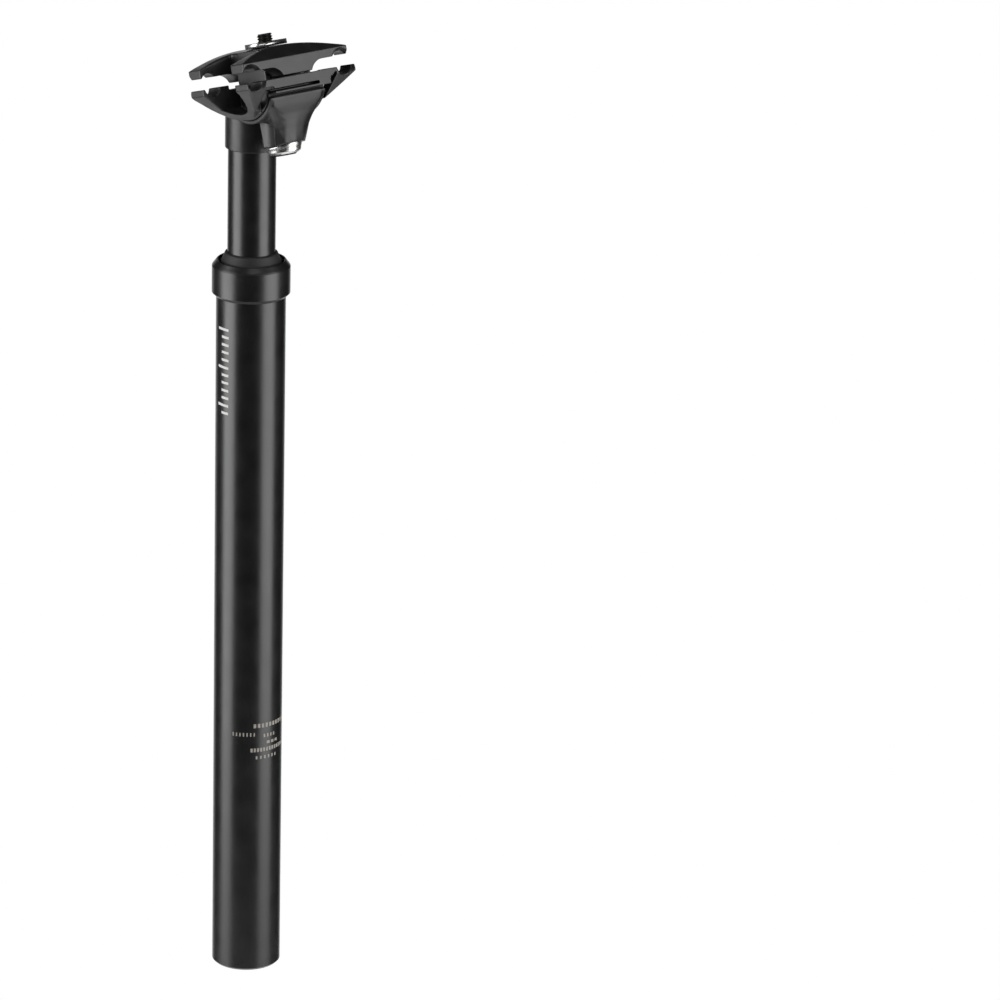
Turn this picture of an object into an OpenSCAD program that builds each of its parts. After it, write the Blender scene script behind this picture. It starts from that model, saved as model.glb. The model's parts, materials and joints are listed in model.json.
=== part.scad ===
// Short-travel telescoping seatpost: a sprung inner tube slides in an outer tube,
// and its forged head holds a two-piece saddle clamp on one tilted bolt.
// Origin: axis of the post, at the top of the length that enters a bicycle frame.
// +Z is up along the post, +X is towards the front of the bicycle.

/* [Outer tube] */
// Diameter that fits the frame
tube_d = 27.2; // [26.8:0.1:28.6]
// Length below the collar
tube_len = 279; // [250:1:320]
// Diameter of the smooth inside
tube_bore_d = 22; // [21.6:0.1:22.4]
// Chamfer of the lower end
tube_chamfer = 0.9; // [0.3:0.1:1.4]
// Diameter of the threaded neck that carries the collar
neck_d = 25.6; // [25:0.1:26.2]
// Height of the threaded neck
neck_h = 9; // [7:0.5:11]

/* [Collar and wiper] */
// Outside diameter of the collar
collar_d = 30.6; // [29.4:0.1:34]
// Height of the collar's upright wall
collar_wall_h = 12.4; // [11.6:0.2:16]
// Height of the sloped shoulder above that wall
collar_shoulder_h = 2.1; // [1.6:0.1:3]
// Chamfer under the collar
collar_chamfer = 1.5; // [0.4:0.1:1.8]
// Inside diameter of the collar's open lip
lip_bore_d = 25.8; // [25.2:0.1:26.4]
// Outside diameter of the wiper where it sits in the collar
wiper_d = 23.8; // [23.2:0.1:24.4]
// Height of the wiper above the collar
wiper_rise = 3.2; // [2:0.1:5]

/* [Inner tube] */
// Outside diameter of the sliding tube
inner_d = 18.7; // [18.4:0.1:19]
// Diameter of its inside
inner_bore_d = 13.4; // [12:0.1:14]
// Length hidden in the outer tube when fully extended
inner_insert = 64; // [60:1:80]
// Length that shows between the wiper and the head
inner_show = 41.7; // [38:0.1:60]
// Depth of the socket in the head
socket_depth = 13; // [9:0.5:14]
// How far the inner tube can sink
travel = 35; // [20:1:36]

/* [Guides] */
// Length of the upper bushing inside the outer tube
upper_bush_len = 22; // [16:1:24]
// Thickness of that bushing's flange
flange_t = 1.2; // [0.8:0.1:1.4]
// Height of the rubber ring that stops the upward stroke
bumper_h = 3.6; // [2.5:0.1:5]
// Length of the anti-rotation keys
key_len = 12; // [8:0.5:13]
// Width of a key
key_w = 3; // [2:0.1:4]
// Number of keys around the inner tube
key_count = 3; // [2:1:4]
// Depth of a key's pocket in the inner tube
key_pocket = 1; // [0.6:0.1:1.4]
// Depth of the grooves that the keys run in
key_groove = 0.8; // [0.5:0.1:1.2]
// Length of the lower bushing
lower_bush_len = 20; // [12:1:20]
// Wall left for the lower bushing to sit on
lower_step = 0.9; // [0.5:0.1:1.1]

/* [Spring] */
// Diameter of the spring wire
wire_d = 3.6; // [3:0.1:3.8]
// Diameter of the coil through the middle of the wire
coil_d = 16; // [15.6:0.1:16.6]
// Length of the spring at rest
coil_len = 164; // [150:1:190]
// Number of turns
coil_turns = 20; // [14:1:24]
// Diameter of the elastomer rod inside the spring
core_d = 9; // [6:0.5:10]
// Diameter of the noses that hold the spring's ends
nose_d = 11.8; // [10:0.1:12]
// Length of those noses
nose_len = 6; // [4:0.5:10]
// Thickness of the spring seats
seat_t = 2.5; // [1.5:0.1:4]
// Length of the shank that presses into the inner tube
seat_shank = 8; // [6:0.5:10]

/* [Preload plug] */
// Thread diameter in the tube's lower end
plug_d = 24; // [23.2:0.1:24.6]
// Length of the plug
plug_len = 14; // [10:0.5:18]
// Width across flats of its hexagon socket
plug_key = 8; // [6:0.5:10]
// Depth of the hexagon socket
plug_key_depth = 8; // [6:0.5:9]
// How far the plug can be screwed in
preload_travel = 6; // [2:0.5:8]

/* [Head] */
// Diameter of the column around the inner tube
column_d = 21; // [20.6:0.1:23]
// Height of the clamp's tilt axis above the column's foot
hinge_rise = 30.2; // [29.6:0.1:34]
// Distance of the tilt axis behind the post
setback = 11.3; // [10.8:0.1:14]
// Radius of the curved saddle that the cradle turns in
saddle_r = 15.2; // [14.8:0.1:15.6]
// Radius of the curved underside for the dished washer
underside_r = 26.9; // [26:0.1:28]
// Width of the saddle across the bicycle
saddle_w = 27; // [25:0.5:28]
// Width of the rear boss at its foot
boss_w = 16.2; // [15:0.2:17]
// Height of the column above its foot
column_h = 16.5; // [15:0.5:17]

/* [Clamp] */
// Diameter of the saddle rails
rail_d = 7; // [7:0.1:7.2]
// Distance between the rails
rail_spacing = 44; // [43:0.5:45]
// Tilt of the clamp, rear end up
clamp_tilt = 16.5; // [10:0.5:20]
// Length of the lower cradle behind the bolt
cradle_rear = 18.6; // [18:0.1:20]
// Length of the lower cradle in front of the bolt
cradle_front = 17.4; // [16:0.1:18]
// Width of the lower cradle
cradle_w = 53; // [52:0.5:58]
// Depth of the lower rail grooves
lower_groove = 2.9; // [2.6:0.1:3.2]
// Depth of the upper rail grooves
upper_groove = 1.7; // [1.4:0.1:2.2]
// Opening of the jaws beyond the rails
jaw_open = 1.8; // [0.5:0.1:2]
// Width of the upper clamp
upper_w = 51; // [50:0.5:56]
// Rise of the upper clamp's crown above its tips
crown_rise = 4.5; // [4:0.1:7]
// Height of the upper clamp's tips
tip_h = 3.4; // [3:0.1:5]

/* [Bolt] */
// Diameter of the bolt
bolt_d = 6; // [5:0.1:6.4]
// Length of thread that stands above the nut plate
bolt_proud = 3.1; // [2:0.1:5]
// Diameter of the bolt's head
bolt_head_d = 9.6; // [8.5:0.1:10]
// Height of the bolt's head
bolt_head_h = 2.4; // [2:0.1:3]
// Width across flats of the bolt's hexagon socket
bolt_key = 5; // [3:0.5:5]
// Diameter of the dished washer
washer_d = 14.2; // [12:0.1:16]
// Thickness of the dished washer at the bolt
washer_t = 3; // [2.6:0.1:4]
// Length of the nut plate across the bicycle
nut_len = 14.4; // [12:0.1:18]
// Width of the nut plate
nut_w = 8.4; // [8:0.1:12]
// Thickness of the nut plate
nut_t = 1.9; // [1.5:0.1:3]

/* [Hidden] */
$fn = 96;

// Clearances
run_gap = 0.05;      // radial, between parts that slide or turn on each other
seat_gap = 0.02;     // between parts of one body that are pressed or screwed together
turn_gap = 0.1;      // radial, between the cradle, the washer and the head
stop_gap = 0.3;      // between a part and the stop that it meets
eps = 0.5;           // how far a cut runs past the face it opens

// Small forms on turned parts
fine_edge = 0.4;     // narrow bevels and reliefs
end_edge = 0.6;      // bevels on the ends of tubes and threads
ring_groove = 0.5;   // depth of the retaining ring's groove

// Colours
black_anodised = [0.13, 0.13, 0.135];
black_forged = [0.11, 0.11, 0.115];
black_rubber = [0.05, 0.05, 0.05];
zinc = [0.78, 0.78, 0.76];
dark_steel = [0.16, 0.16, 0.16];
spring_steel = [0.45, 0.46, 0.48];
polymer = [0.82, 0.8, 0.72];
brass = [0.75, 0.6, 0.3];
amber_elastomer = [0.75, 0.45, 0.12];

// Heights along the post
collar_top = collar_wall_h + collar_shoulder_h;
wiper_top = collar_top + wiper_rise;
column_foot = wiper_top + inner_show;
hinge_z = column_foot + hinge_rise;
inner_top = column_foot + socket_depth;
inner_foot = -inner_insert;
neck_r = neck_d / 2;
bore_r = tube_bore_d / 2;
inner_r = inner_d / 2;
flange_top = neck_h + flange_t + seat_gap;
wiper_foot = flange_top + stop_gap;
bumper_top = -upper_bush_len - stop_gap;
key_top = bumper_top - bumper_h - seat_gap;
key_foot = key_top - key_len;
step_z = key_foot - 2;       // shoulder above the lower bushing
bush_foot = step_z - lower_bush_len;
ring_t = 1.2;
ring_top = bush_foot - seat_gap;
seat_top = inner_foot - seat_gap;
coil_top = seat_top - seat_t;
coil_foot = coil_top - coil_len;
lower_seat_foot = coil_foot - seat_t;
plug_inset = 1;              // from the tube's foot to the plug
plug_spare = 8;              // thread above the plug when it is screwed in
plug_bore_h = plug_len + preload_travel + plug_spare;
plug_top = -tube_len + plug_len + plug_inset;
spacer_foot = plug_top + seat_gap;

function arc(cx, cy, r, a0, a1, steps = 12) =
    [for (i = [0 : steps]) let (a = a0 + (a1 - a0) * i / steps) [cx + r * cos(a), cy + r * sin(a)]];

// Outer tube, turned from a half section, with grooves for the keys
module outer_tube() {
    groove_r = bore_r + key_groove;
    groove_foot = key_foot - travel - stop_gap;
    thread_end = 1;
    color(black_anodised) difference() {
        rotate_extrude() polygon([
            [plug_d / 2, -tube_len + tube_chamfer / 2], [plug_d / 2 + tube_chamfer / 2, -tube_len],
            [tube_d / 2 - tube_chamfer, -tube_len], [tube_d / 2, -tube_len + tube_chamfer],
            [tube_d / 2, 0], [neck_r, 0], [neck_r, neck_h], [bore_r, neck_h],
            [bore_r, -tube_len + plug_bore_h + thread_end],
            [plug_d / 2, -tube_len + plug_bore_h]
        ]);
        for (i = [0 : key_count - 1]) rotate(i * 360 / key_count)
            translate([0, -key_w / 2 - run_gap, groove_foot])
                cube([groove_r, key_w + 2 * run_gap, neck_h + eps - groove_foot]);
    }
}

// Threaded collar with a sloped shoulder and an open lip
module top_collar() {
    r = collar_d / 2;
    lip_r = lip_bore_d / 2;
    floor_z = collar_wall_h + 0.2;
    lip = 0.6;
    color(black_anodised) rotate_extrude() polygon([
        [neck_r + seat_gap, seat_gap], [r - collar_chamfer, seat_gap], [r, collar_chamfer],
        [r, collar_wall_h - fine_edge], [r - fine_edge, collar_wall_h + fine_edge / 2],
        [lip_r + lip, collar_top - lip / 6], [lip_r + lip / 2, collar_top],
        [lip_r, collar_top - lip / 3],
        [lip_r, floor_z], [wiper_d / 2 + seat_gap, floor_z],
        [wiper_d / 2 + seat_gap, flange_top + seat_gap], [neck_r + seat_gap, flange_top + seat_gap]
    ]);
}

// Rubber wiper that cleans the inner tube
module wiper_seal() {
    r_in = inner_r + run_gap;
    r_out = wiper_d / 2;
    lip = 0.9;
    color(black_rubber) rotate_extrude() polygon([
        [r_in, wiper_foot + end_edge], [r_in + end_edge, wiper_foot + seat_gap],
        [r_out, wiper_foot + seat_gap], [r_out, collar_top - fine_edge],
        [r_out - fine_edge, collar_top], [r_in + lip, wiper_top - lip / 2],
        [r_in + lip / 3, wiper_top], [r_in, wiper_top - lip / 3]
    ]);
}

// Flanged plastic bushing in the mouth of the outer tube
module upper_bushing() {
    r_in = inner_r + run_gap;
    color(polymer) rotate_extrude() polygon([
        [r_in, -upper_bush_len], [bore_r - seat_gap, -upper_bush_len],
        [bore_r - seat_gap, neck_h + seat_gap], [neck_r - fine_edge, neck_h + seat_gap],
        [neck_r - fine_edge, flange_top - seat_gap], [r_in, flange_top - seat_gap]
    ]);
}

// Sliding tube with pockets for the keys and a turned-down foot
module inner_tube() {
    foot_r = inner_r - lower_step;
    groove_r = foot_r - ring_groove;
    color(black_anodised) difference() {
        rotate_extrude() polygon([
            [inner_bore_d / 2, inner_foot], [foot_r - fine_edge, inner_foot],
            [foot_r, inner_foot + fine_edge], [foot_r, ring_top - ring_t],
            [groove_r, ring_top - ring_t], [groove_r, ring_top], [foot_r, ring_top],
            [foot_r, step_z], [inner_r, step_z], [inner_r, inner_top - end_edge],
            [inner_r - end_edge, inner_top],
            [inner_bore_d / 2, inner_top]
        ]);
        for (i = [0 : key_count - 1]) rotate(i * 360 / key_count)
            translate([inner_r - key_pocket, -key_w / 2, key_foot])
                cube([key_pocket + eps, key_w, key_len]);
    }
}

// Rubber ring that softens the end of the upward stroke
module top_out_bumper() {
    r_in = inner_r + seat_gap;
    r_out = bore_r - stop_gap;
    color(black_rubber) translate([0, 0, bumper_top - bumper_h]) rotate_extrude() polygon([
        [r_in, 0], [r_out, 0], [r_out, bumper_h - end_edge], [r_out - end_edge, bumper_h],
        [r_in, bumper_h]
    ]);
}

// Brass keys that stop the inner tube from turning
module anti_rotation_keys() {
    floor_r = inner_r - key_pocket + seat_gap;
    top_r = bore_r + key_groove - 2 * run_gap;
    color(brass) for (i = [0 : key_count - 1]) rotate(i * 360 / key_count)
        translate([floor_r, -key_w / 2 + seat_gap, key_foot + seat_gap])
            cube([top_r - floor_r, key_w - 2 * seat_gap, key_len - 2 * seat_gap]);
}

// Plastic guide ring on the foot of the inner tube
module lower_bushing() {
    color(polymer) translate([0, 0, bush_foot]) difference() {
        cylinder(r = bore_r - run_gap, h = lower_bush_len - seat_gap);
        translate([0, 0, -eps])
            cylinder(r = inner_r - lower_step + seat_gap, h = lower_bush_len + 2 * eps);
    }
}

// Split steel ring that holds the lower bushing
module retaining_ring() {
    groove_r = inner_r - lower_step - ring_groove;
    gap_w = 4;
    color(spring_steel) translate([0, 0, ring_top - ring_t + seat_gap]) difference() {
        cylinder(r = bore_r - stop_gap, h = ring_t - 2 * seat_gap);
        translate([0, 0, -eps]) cylinder(r = groove_r + seat_gap, h = ring_t + 2 * eps);
        translate([0, -gap_w / 2, -eps]) cube([bore_r, gap_w, ring_t + 2 * eps]);
    }
}

// Seat with a nose, drawn at the origin with its flat side down
module spring_seat(shank_d, shank_h) {
    shank_r = shank_d / 2;
    rim_r = (coil_d + wire_d) / 2;
    nose_r = nose_d / 2;
    nose_top = seat_t + nose_len;
    nose_edge = 1;
    rotate_extrude() polygon([
        [0, -shank_h], [shank_r - fine_edge, -shank_h], [shank_r, -shank_h + fine_edge],
        [shank_r, 0], [rim_r, 0], [rim_r, seat_t], [nose_r, seat_t],
        [nose_r, nose_top - nose_edge], [nose_r - nose_edge, nose_top], [0, nose_top]
    ]);
}

// Upper seat, pressed into the foot of the inner tube
module upper_spring_seat() {
    color(polymer) translate([0, 0, seat_top]) mirror([0, 0, 1])
        spring_seat(inner_bore_d - 2 * seat_gap, seat_shank);
}

// One unbroken wire wound as a helix, its end turns lying closer together
wire_sides = 6;
rings_per_turn = 12;
wire_r = wire_d / 2;
end_turns = 1.5;
coil_start = coil_foot + wire_r + seat_gap;
coil_rise = coil_len - wire_d - 2 * seat_gap;
end_pitch = wire_d + 0.6;
mid_pitch = (coil_rise - 2 * end_turns * end_pitch) / (coil_turns - 2 * end_turns);
function coil_height(t) =
    t < end_turns ? t * end_pitch :
    t < coil_turns - end_turns ? end_turns * end_pitch + (t - end_turns) * mid_pitch :
    coil_rise - (coil_turns - t) * end_pitch;
function wire_ring(t) =
    [for (k = [0 : wire_sides - 1])
        let (a = 360 * k / wire_sides, r = coil_d / 2 + wire_r * cos(a))
        [r * cos(360 * t), r * sin(360 * t), coil_start + coil_height(t) + wire_r * sin(a)]];
module coil_spring() {
    ring_n = coil_turns * rings_per_turn;
    points = [for (i = [0 : ring_n]) each wire_ring(i / rings_per_turn)];
    last = ring_n * wire_sides;
    first_cap = [for (k = [wire_sides - 1 : -1 : 0]) k];
    last_cap = [for (k = [0 : wire_sides - 1]) last + k];
    sides = [for (i = [0 : ring_n - 1], k = [0 : wire_sides - 1])
        let (a = i * wire_sides + k, b = i * wire_sides + (k + 1) % wire_sides)
        each [[a, b, a + wire_sides], [b, b + wire_sides, a + wire_sides]]];
    echo(least_coil_gap = end_pitch - wire_d);
    color(spring_steel) polyhedron(points, concat([first_cap], [last_cap], sides), convexity = 10);
}

// Elastomer rod between the noses of the two seats
module elastomer_core() {
    foot = coil_foot + nose_len + seat_gap;
    top = coil_top - nose_len - seat_gap;
    color(amber_elastomer) translate([0, 0, foot]) cylinder(d = core_d, h = top - foot);
}

// Lower seat, a cup on a long shank that stands on the preload plug
module lower_spring_seat() {
    shank_h = lower_seat_foot - spacer_foot;
    color(polymer) translate([0, 0, lower_seat_foot])
        spring_seat(inner_bore_d, shank_h);
}

// Threaded plug with a hexagon socket from below
module preload_plug() {
    r = plug_d / 2 - run_gap;
    foot = plug_top - plug_len;
    color(dark_steel) difference() {
        rotate_extrude() polygon([
            [0, foot], [r - end_edge, foot], [r, foot + end_edge], [r, plug_top - end_edge],
            [r - end_edge, plug_top], [0, plug_top]
        ]);
        translate([0, 0, foot - eps])
            cylinder(d = plug_key / cos(30), h = plug_key_depth + eps, $fn = 6);
    }
}

// Carries the clamp parts: origin on the tilt axis, +X along the rails, +Z along the bolt
module clamp_frame() {
    translate([-setback, 0, hinge_z]) rotate([0, clamp_tilt, 0]) children();
}

// Extrudes an outline given as [along the rails, up], across the bicycle
module across(width) {
    rotate([90, 0, 0]) linear_extrude(height = width, center = true) children();
}

// Extrudes an outline given as [across, up], along the rails
module along(length) {
    rotate([90, 0, 90]) linear_extrude(height = length, center = true) children();
}

// Heights in the clamp frame
rail_r = rail_d / 2;
rail_y = rail_spacing / 2;
lower_face = lower_groove - rail_r;
jaw_face = rail_r - upper_groove + jaw_open;
crown = jaw_face + tip_h + crown_rise;
drum_r = saddle_r - turn_gap;
washer_seat_r = underside_r + turn_gap;
head_recess = 1.8;           // how deep the bolt's head sits in the washer
bolt_seat = -washer_seat_r - washer_t + head_recess;
nut_foot = crown + seat_gap;
bolt_top = nut_foot + nut_t + bolt_proud;
tilt_min = -3;
tilt_max = 6;
boss_neck = 5.4;             // half width of the boss where it joins the column
neck_rear = -12;             // where that neck starts and ends along the bicycle
neck_front = 2 - column_d / 2;
cut_len = 2 * cradle_w;      // cuts that pass the whole clamp
lift_min = 1.8;              // how far the upper clamp can come down from rest
block_half = 9.5;            // half width of the web around the bolt, in both clamps
block_dip = 1.8;             // how far the upper clamp's block reaches into the cradle
hollow_rear = -10.5;         // ends of the hollow between the cradle's walls
hollow_front = cradle_front - 8.3;

// Outline of the rear boss at one height, seen from above: rounded and slightly bulged
// behind, narrowing to a neck at the column
function boss_plan(reach, half, bulge) =
    let (corner = 2.2, flank = 5, rear = -setback - reach, c = rear + corner)
    concat(
        arc(c, -half + corner, corner, 270, 190, 5),
        [[rear - 0.75 * bulge, -half / 2], [rear - bulge, 0], [rear - 0.75 * bulge, half / 2]],
        arc(c, half - corner, corner, 170, 90, 5),
        [[rear + flank, half], [neck_rear, boss_neck], [neck_front, boss_neck],
         [neck_front, -boss_neck], [neck_rear, -boss_neck], [rear + flank, -half]]
    );

// Forged head: column, saddle and rear boss
module head() {
    foot = column_foot;
    waist = boss_w / 2;
    rim = saddle_w / 2;
    rim_drop = 3;
    flange_t = 1.4;
    // Each level: depth below the tilt axis, reach behind it, half width, bulge of the rear face
    levels = [
        [rim_drop, 15.8, rim - 0.4, 0], [rim_drop + 0.8, 16.3, rim, 0],
        [7.2, 16, rim - 0.6, 0.1], [10.8, 15.2, (rim + waist) / 2 + 0.3, 0.4],
        [13.4, 14.5, waist + 1.7, 0.9], [16.7, 13.6, waist + 0.8, 1.5],
        [23.6, 12.4, waist + 0.1, 2.3], [28.4, 12, waist, 2.6]
    ];
    slice = 0.01;
    shell_rear = 20;
    shell_front = -4;
    valley_r = 9;
    valley_x = -setback - 7;
    valley_drop = 4;
    valley_lean = clamp_tilt - 10;
    // Small hollow beside the neck, in line with the front of the bolt's slot
    crease_r = 3.2;
    crease_x = -setback - 1.2;
    crease_y = 6.2;
    crease_lean = clamp_tilt + tilt_min;
    valley_h = column_h + 1.5;
    slot_w = bolt_d + 0.6;
    slot_over = 3;
    color(black_forged) difference() {
        union() {
            translate([0, 0, foot]) cylinder(d = column_d, h = column_h);
            // Rear boss, cut to the curved underside, with valleys beside its neck
            difference() {
                intersection() {
                    for (i = [0 : len(levels) - 2]) hull() for (v = [levels[i], levels[i + 1]])
                        translate([0, 0, hinge_z - v[0] - slice]) linear_extrude(height = slice)
                            polygon(boss_plan(v[1], v[2], v[3]));
                    translate([-setback, 0, hinge_z]) rotate([90, 0, 0])
                        cylinder(r = underside_r, h = saddle_w + 2 * eps, center = true);
                }
                for (s = [-1, 1])
                    translate([valley_x, s * (boss_neck + valley_r), foot - valley_drop])
                        rotate([0, valley_lean, 0]) cylinder(r = valley_r, h = valley_h);
                for (s = [-1, 1]) translate([crease_x, s * crease_y, foot - valley_drop])
                    rotate([0, crease_lean, 0]) cylinder(r = crease_r, h = valley_h);
            }
            // Thin shell under the whole width of the drum
            intersection() {
                translate([-setback, 0, hinge_z]) rotate([90, 0, 0])
                    cylinder(r = saddle_r + flange_t, h = saddle_w, center = true);
                translate([-setback - shell_rear, -saddle_w, foot])
                    cube([shell_rear + setback + shell_front, 2 * saddle_w,
                          hinge_rise - rim_drop - fine_edge]);
            }
        }
        // Curved saddle
        translate([-setback, 0, hinge_z]) rotate([90, 0, 0])
            cylinder(r = saddle_r, h = saddle_w + 2 * eps, center = true);
        // Socket for the inner tube
        translate([0, 0, foot - eps]) cylinder(r = inner_r + seat_gap, h = socket_depth + eps);
        // Slot that lets the bolt tilt
        translate([-setback, 0, hinge_z]) across(slot_w) polygon([
            for (p = [[tilt_min, saddle_r - slot_over, -1], [tilt_max, saddle_r - slot_over, 1],
                      [tilt_max, underside_r + slot_over, 1],
                      [tilt_min, underside_r + slot_over, -1]])
                let (a = clamp_tilt + p[0], o = p[2] * slot_w / 2)
                [-p[1] * sin(a) - o * cos(a), -p[1] * cos(a) + o * sin(a)]
        ]);
    }
}

// Lower cradle: a drum that turns in the saddle, with four rail supports
module lower_cradle() {
    half = cradle_w / 2;
    wing_inner = saddle_w / 2 + 2 * turn_gap;
    overlap = 0.4;
    lip = 5.6;
    shoulder = 2.4;
    foot_half = 12.75;
    foot_w = -drum_r - 0.6;
    // Rear view: flat top, slightly convex slopes down to a flat foot
    knee = [half - 4.6, lower_face - 6.9];
    front_view = [[-half, lower_face], [-half, lower_face - shoulder], [-knee[0], knee[1]],
                  [-foot_half, foot_w], [foot_half, foot_w], knee, [half, lower_face - shoulder],
                  [half, lower_face]];
    // Rear of a support in side view: upright, then sloping forward
    rear_panel = [[-cradle_rear, lower_face + eps], [-cradle_rear, -3.2], [-8.7, -11.8], [0, -11.8],
                  [0, lower_face + eps]];
    // Front of a support in side view: a low nose that runs into the round
    front_panel = [[0, lower_face + eps], [cradle_front, lower_face + eps], [cradle_front, -4],
                   [13.4, -10], [0, -11.8]];
    wing_r = 15.2;
    wing_u = 2;
    wing_len = half - wing_inner + eps;
    // Gap between the drum and a support, seen from the rear, with a bevelled top on the right
    notch_v = 17;
    notch_end = -8;
    notch_len = cradle_rear + eps + notch_end;
    notch_top = [-1.8, -4.3];
    pocket_r = wing_r - 2.9;
    pocket_u = 1.2;
    pocket_h = 4;
    hollow_len = hollow_front - hollow_rear;
    web_top = lower_face - block_dip - lift_min - stop_gap;
    skirt_gap = 1.7;
    skirt_half = 14;
    rear_bar = 1.8;
    slot_h = 1;
    slot_foot = -5.3;
    slot_ends = [-8, 14];
    slot_depth = 4;
    color(black_forged) clamp_frame() difference() {
        intersection() {
            along(cut_len) polygon(front_view);
            union() {
                rotate([90, 0, 0]) cylinder(r = drum_r, h = 2 * (wing_inner + overlap), center = true);
                for (s = [-1, 1]) translate([0, s * (wing_inner + wing_len / 2), 0]) {
                    translate([wing_u, 0, 0]) rotate([90, 0, 0])
                        cylinder(r = wing_r, h = wing_len, center = true);
                    across(wing_len) polygon(rear_panel);
                    across(wing_len) polygon(front_panel);
                }
                // Flat top from the rear bar to the front bar
                translate([-cradle_rear, -wing_inner - overlap, lower_face - lip])
                    cube([cradle_rear + cradle_front, 2 * (wing_inner + overlap), lip + eps]);
            }
        }
        // Rail grooves
        for (s = [-1, 1]) translate([0, s * rail_y, 0]) rotate([0, 90, 0])
            cylinder(r = rail_r, h = cut_len, center = true);
        // Hollow sides between the supports
        for (s = [-1, 1]) translate([0, s * (block_half + half / 2), 0]) across(half) union() {
            intersection() {
                translate([pocket_u, 0]) circle(r = pocket_r);
                translate([hollow_rear, -drum_r]) square([hollow_len, drum_r]);
            }
            translate([hollow_rear, lower_face - pocket_h]) square([hollow_len, pocket_h + eps]);
        }
        // Web around the bolt, lowered for the upper clamp's block
        translate([hollow_rear, -block_half - eps, web_top])
            cube([hollow_len, 2 * (block_half + eps), drum_r]);
        // Room for the upper clamp's skirts, behind a thin rear bar and open at the front
        translate([-cradle_rear + rear_bar, -skirt_half, lower_face - skirt_gap])
            cube([hollow_rear + cradle_rear - rear_bar + eps, 2 * skirt_half, 2 * skirt_gap]);
        translate([hollow_front - eps, -skirt_half, lower_face - skirt_gap])
            cube([cradle_front - hollow_front + 2 * eps, 2 * skirt_half, 2 * skirt_gap]);
        // Narrow slot across the rear, open to the notch on the left
        translate([-cradle_rear - eps, slot_ends[0], slot_foot])
            cube([slot_depth, slot_ends[1] - slot_ends[0], slot_h]);
        for (s = [0, 1]) mirror([0, 1 - s, 0]) translate([notch_end - notch_len / 2, 0, 0])
            along(notch_len) polygon([[notch_v, notch_top[s]], [wing_inner, notch_top[1]],
                                      [wing_inner, foot_w - eps], [notch_v, foot_w - eps]]);
        // Bolt hole
        cylinder(d = bolt_d + 1, h = cut_len, center = true);
    }
}

// Upper clamp: two arches joined by a middle block
module upper_clamp() {
    half = upper_w / 2;
    skirt = 3.7;
    skirt_r = 6;
    skirt_v = 12.6;
    skirt_a = acos(1 - skirt / skirt_r);
    crown_r = (half * half + crown_rise * crown_rise) / (2 * crown_rise);
    crown_a = asin(half / crown_r);
    front_view = concat(
        [[-half, jaw_face]],
        arc(-skirt_v, jaw_face - skirt_r, skirt_r, 90, 90 - skirt_a, 6),
        arc(skirt_v, jaw_face - skirt_r, skirt_r, 90 + skirt_a, 90, 6),
        [[half, jaw_face]],
        arc(0, crown - crown_r, crown_r, 90 - crown_a, 90 + crown_a, 16)
    );
    tip_setback = 2;
    tip_reach = 0.4;
    rear = -cradle_rear + tip_setback;
    front = cradle_front + tip_reach;
    slope_top = -9;
    slope_foot = jaw_face + 3.3;
    low = jaw_face - skirt - eps;
    side_view = [[rear, low], [rear, slope_foot], [slope_top, crown + eps / 4],
                 [front, crown + eps / 4], [front, low]];
    rear_inner = -8.6;
    front_inner = front - 7.2;
    inner_len = front_inner - rear_inner;
    block_foot = lower_face - block_dip;
    flat_w = nut_w + 1;
    flat_len = 2 * block_half + 4;
    color(black_forged) clamp_frame() difference() {
        union() {
            intersection() {
                along(cut_len) polygon(front_view);
                across(cut_len) polygon(side_view);
            }
            // Block between the arches, which dips into the cradle
            translate([rear_inner, -block_half, block_foot])
                cube([hollow_front - stop_gap - rear_inner, 2 * block_half, jaw_face - block_foot]);
        }
        // Rail grooves
        for (s = [-1, 1]) translate([0, s * rail_y, jaw_open]) rotate([0, 90, 0])
            cylinder(r = rail_r, h = cut_len, center = true);
        // Openings beside the middle block
        for (s = [-1, 1]) translate([rear_inner, s > 0 ? block_half : -half - eps, low])
            cube([inner_len, half - block_half + eps, 2 * crown]);
        // Flat seat for the nut plate, and the bolt hole
        translate([-flat_w / 2, -flat_len / 2, crown]) cube([flat_w, flat_len, tip_h]);
        cylinder(d = bolt_d + 1, h = cut_len, center = true);
    }
}

// Nut plate that the bolt draws down on the upper clamp
module nut_plate() {
    color(zinc) clamp_frame() translate([0, 0, nut_foot]) difference() {
        translate([-nut_w / 2, -nut_len / 2, 0]) cube([nut_w, nut_len, nut_t]);
        translate([0, 0, -eps]) cylinder(r = bolt_d / 2 + run_gap, h = nut_t + 2 * eps);
    }
}

// Bolt with a low head and a hexagon socket, its thread drawn as a plain shank
module clamp_bolt() {
    r = bolt_d / 2;
    head_r = bolt_head_d / 2;
    foot = bolt_seat - bolt_head_h;
    socket_floor = 0.2;
    color(dark_steel) clamp_frame() difference() {
        rotate_extrude() polygon([
            [0, foot], [head_r - end_edge, foot], [head_r, foot + end_edge],
            [head_r, bolt_seat - seat_gap], [r, bolt_seat - seat_gap], [r, bolt_top - end_edge],
            [r - end_edge, bolt_top], [0, bolt_top]
        ]);
        translate([0, 0, foot - eps])
            cylinder(d = bolt_key / cos(30), h = bolt_head_h - socket_floor + eps, $fn = 6);
    }
}

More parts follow.
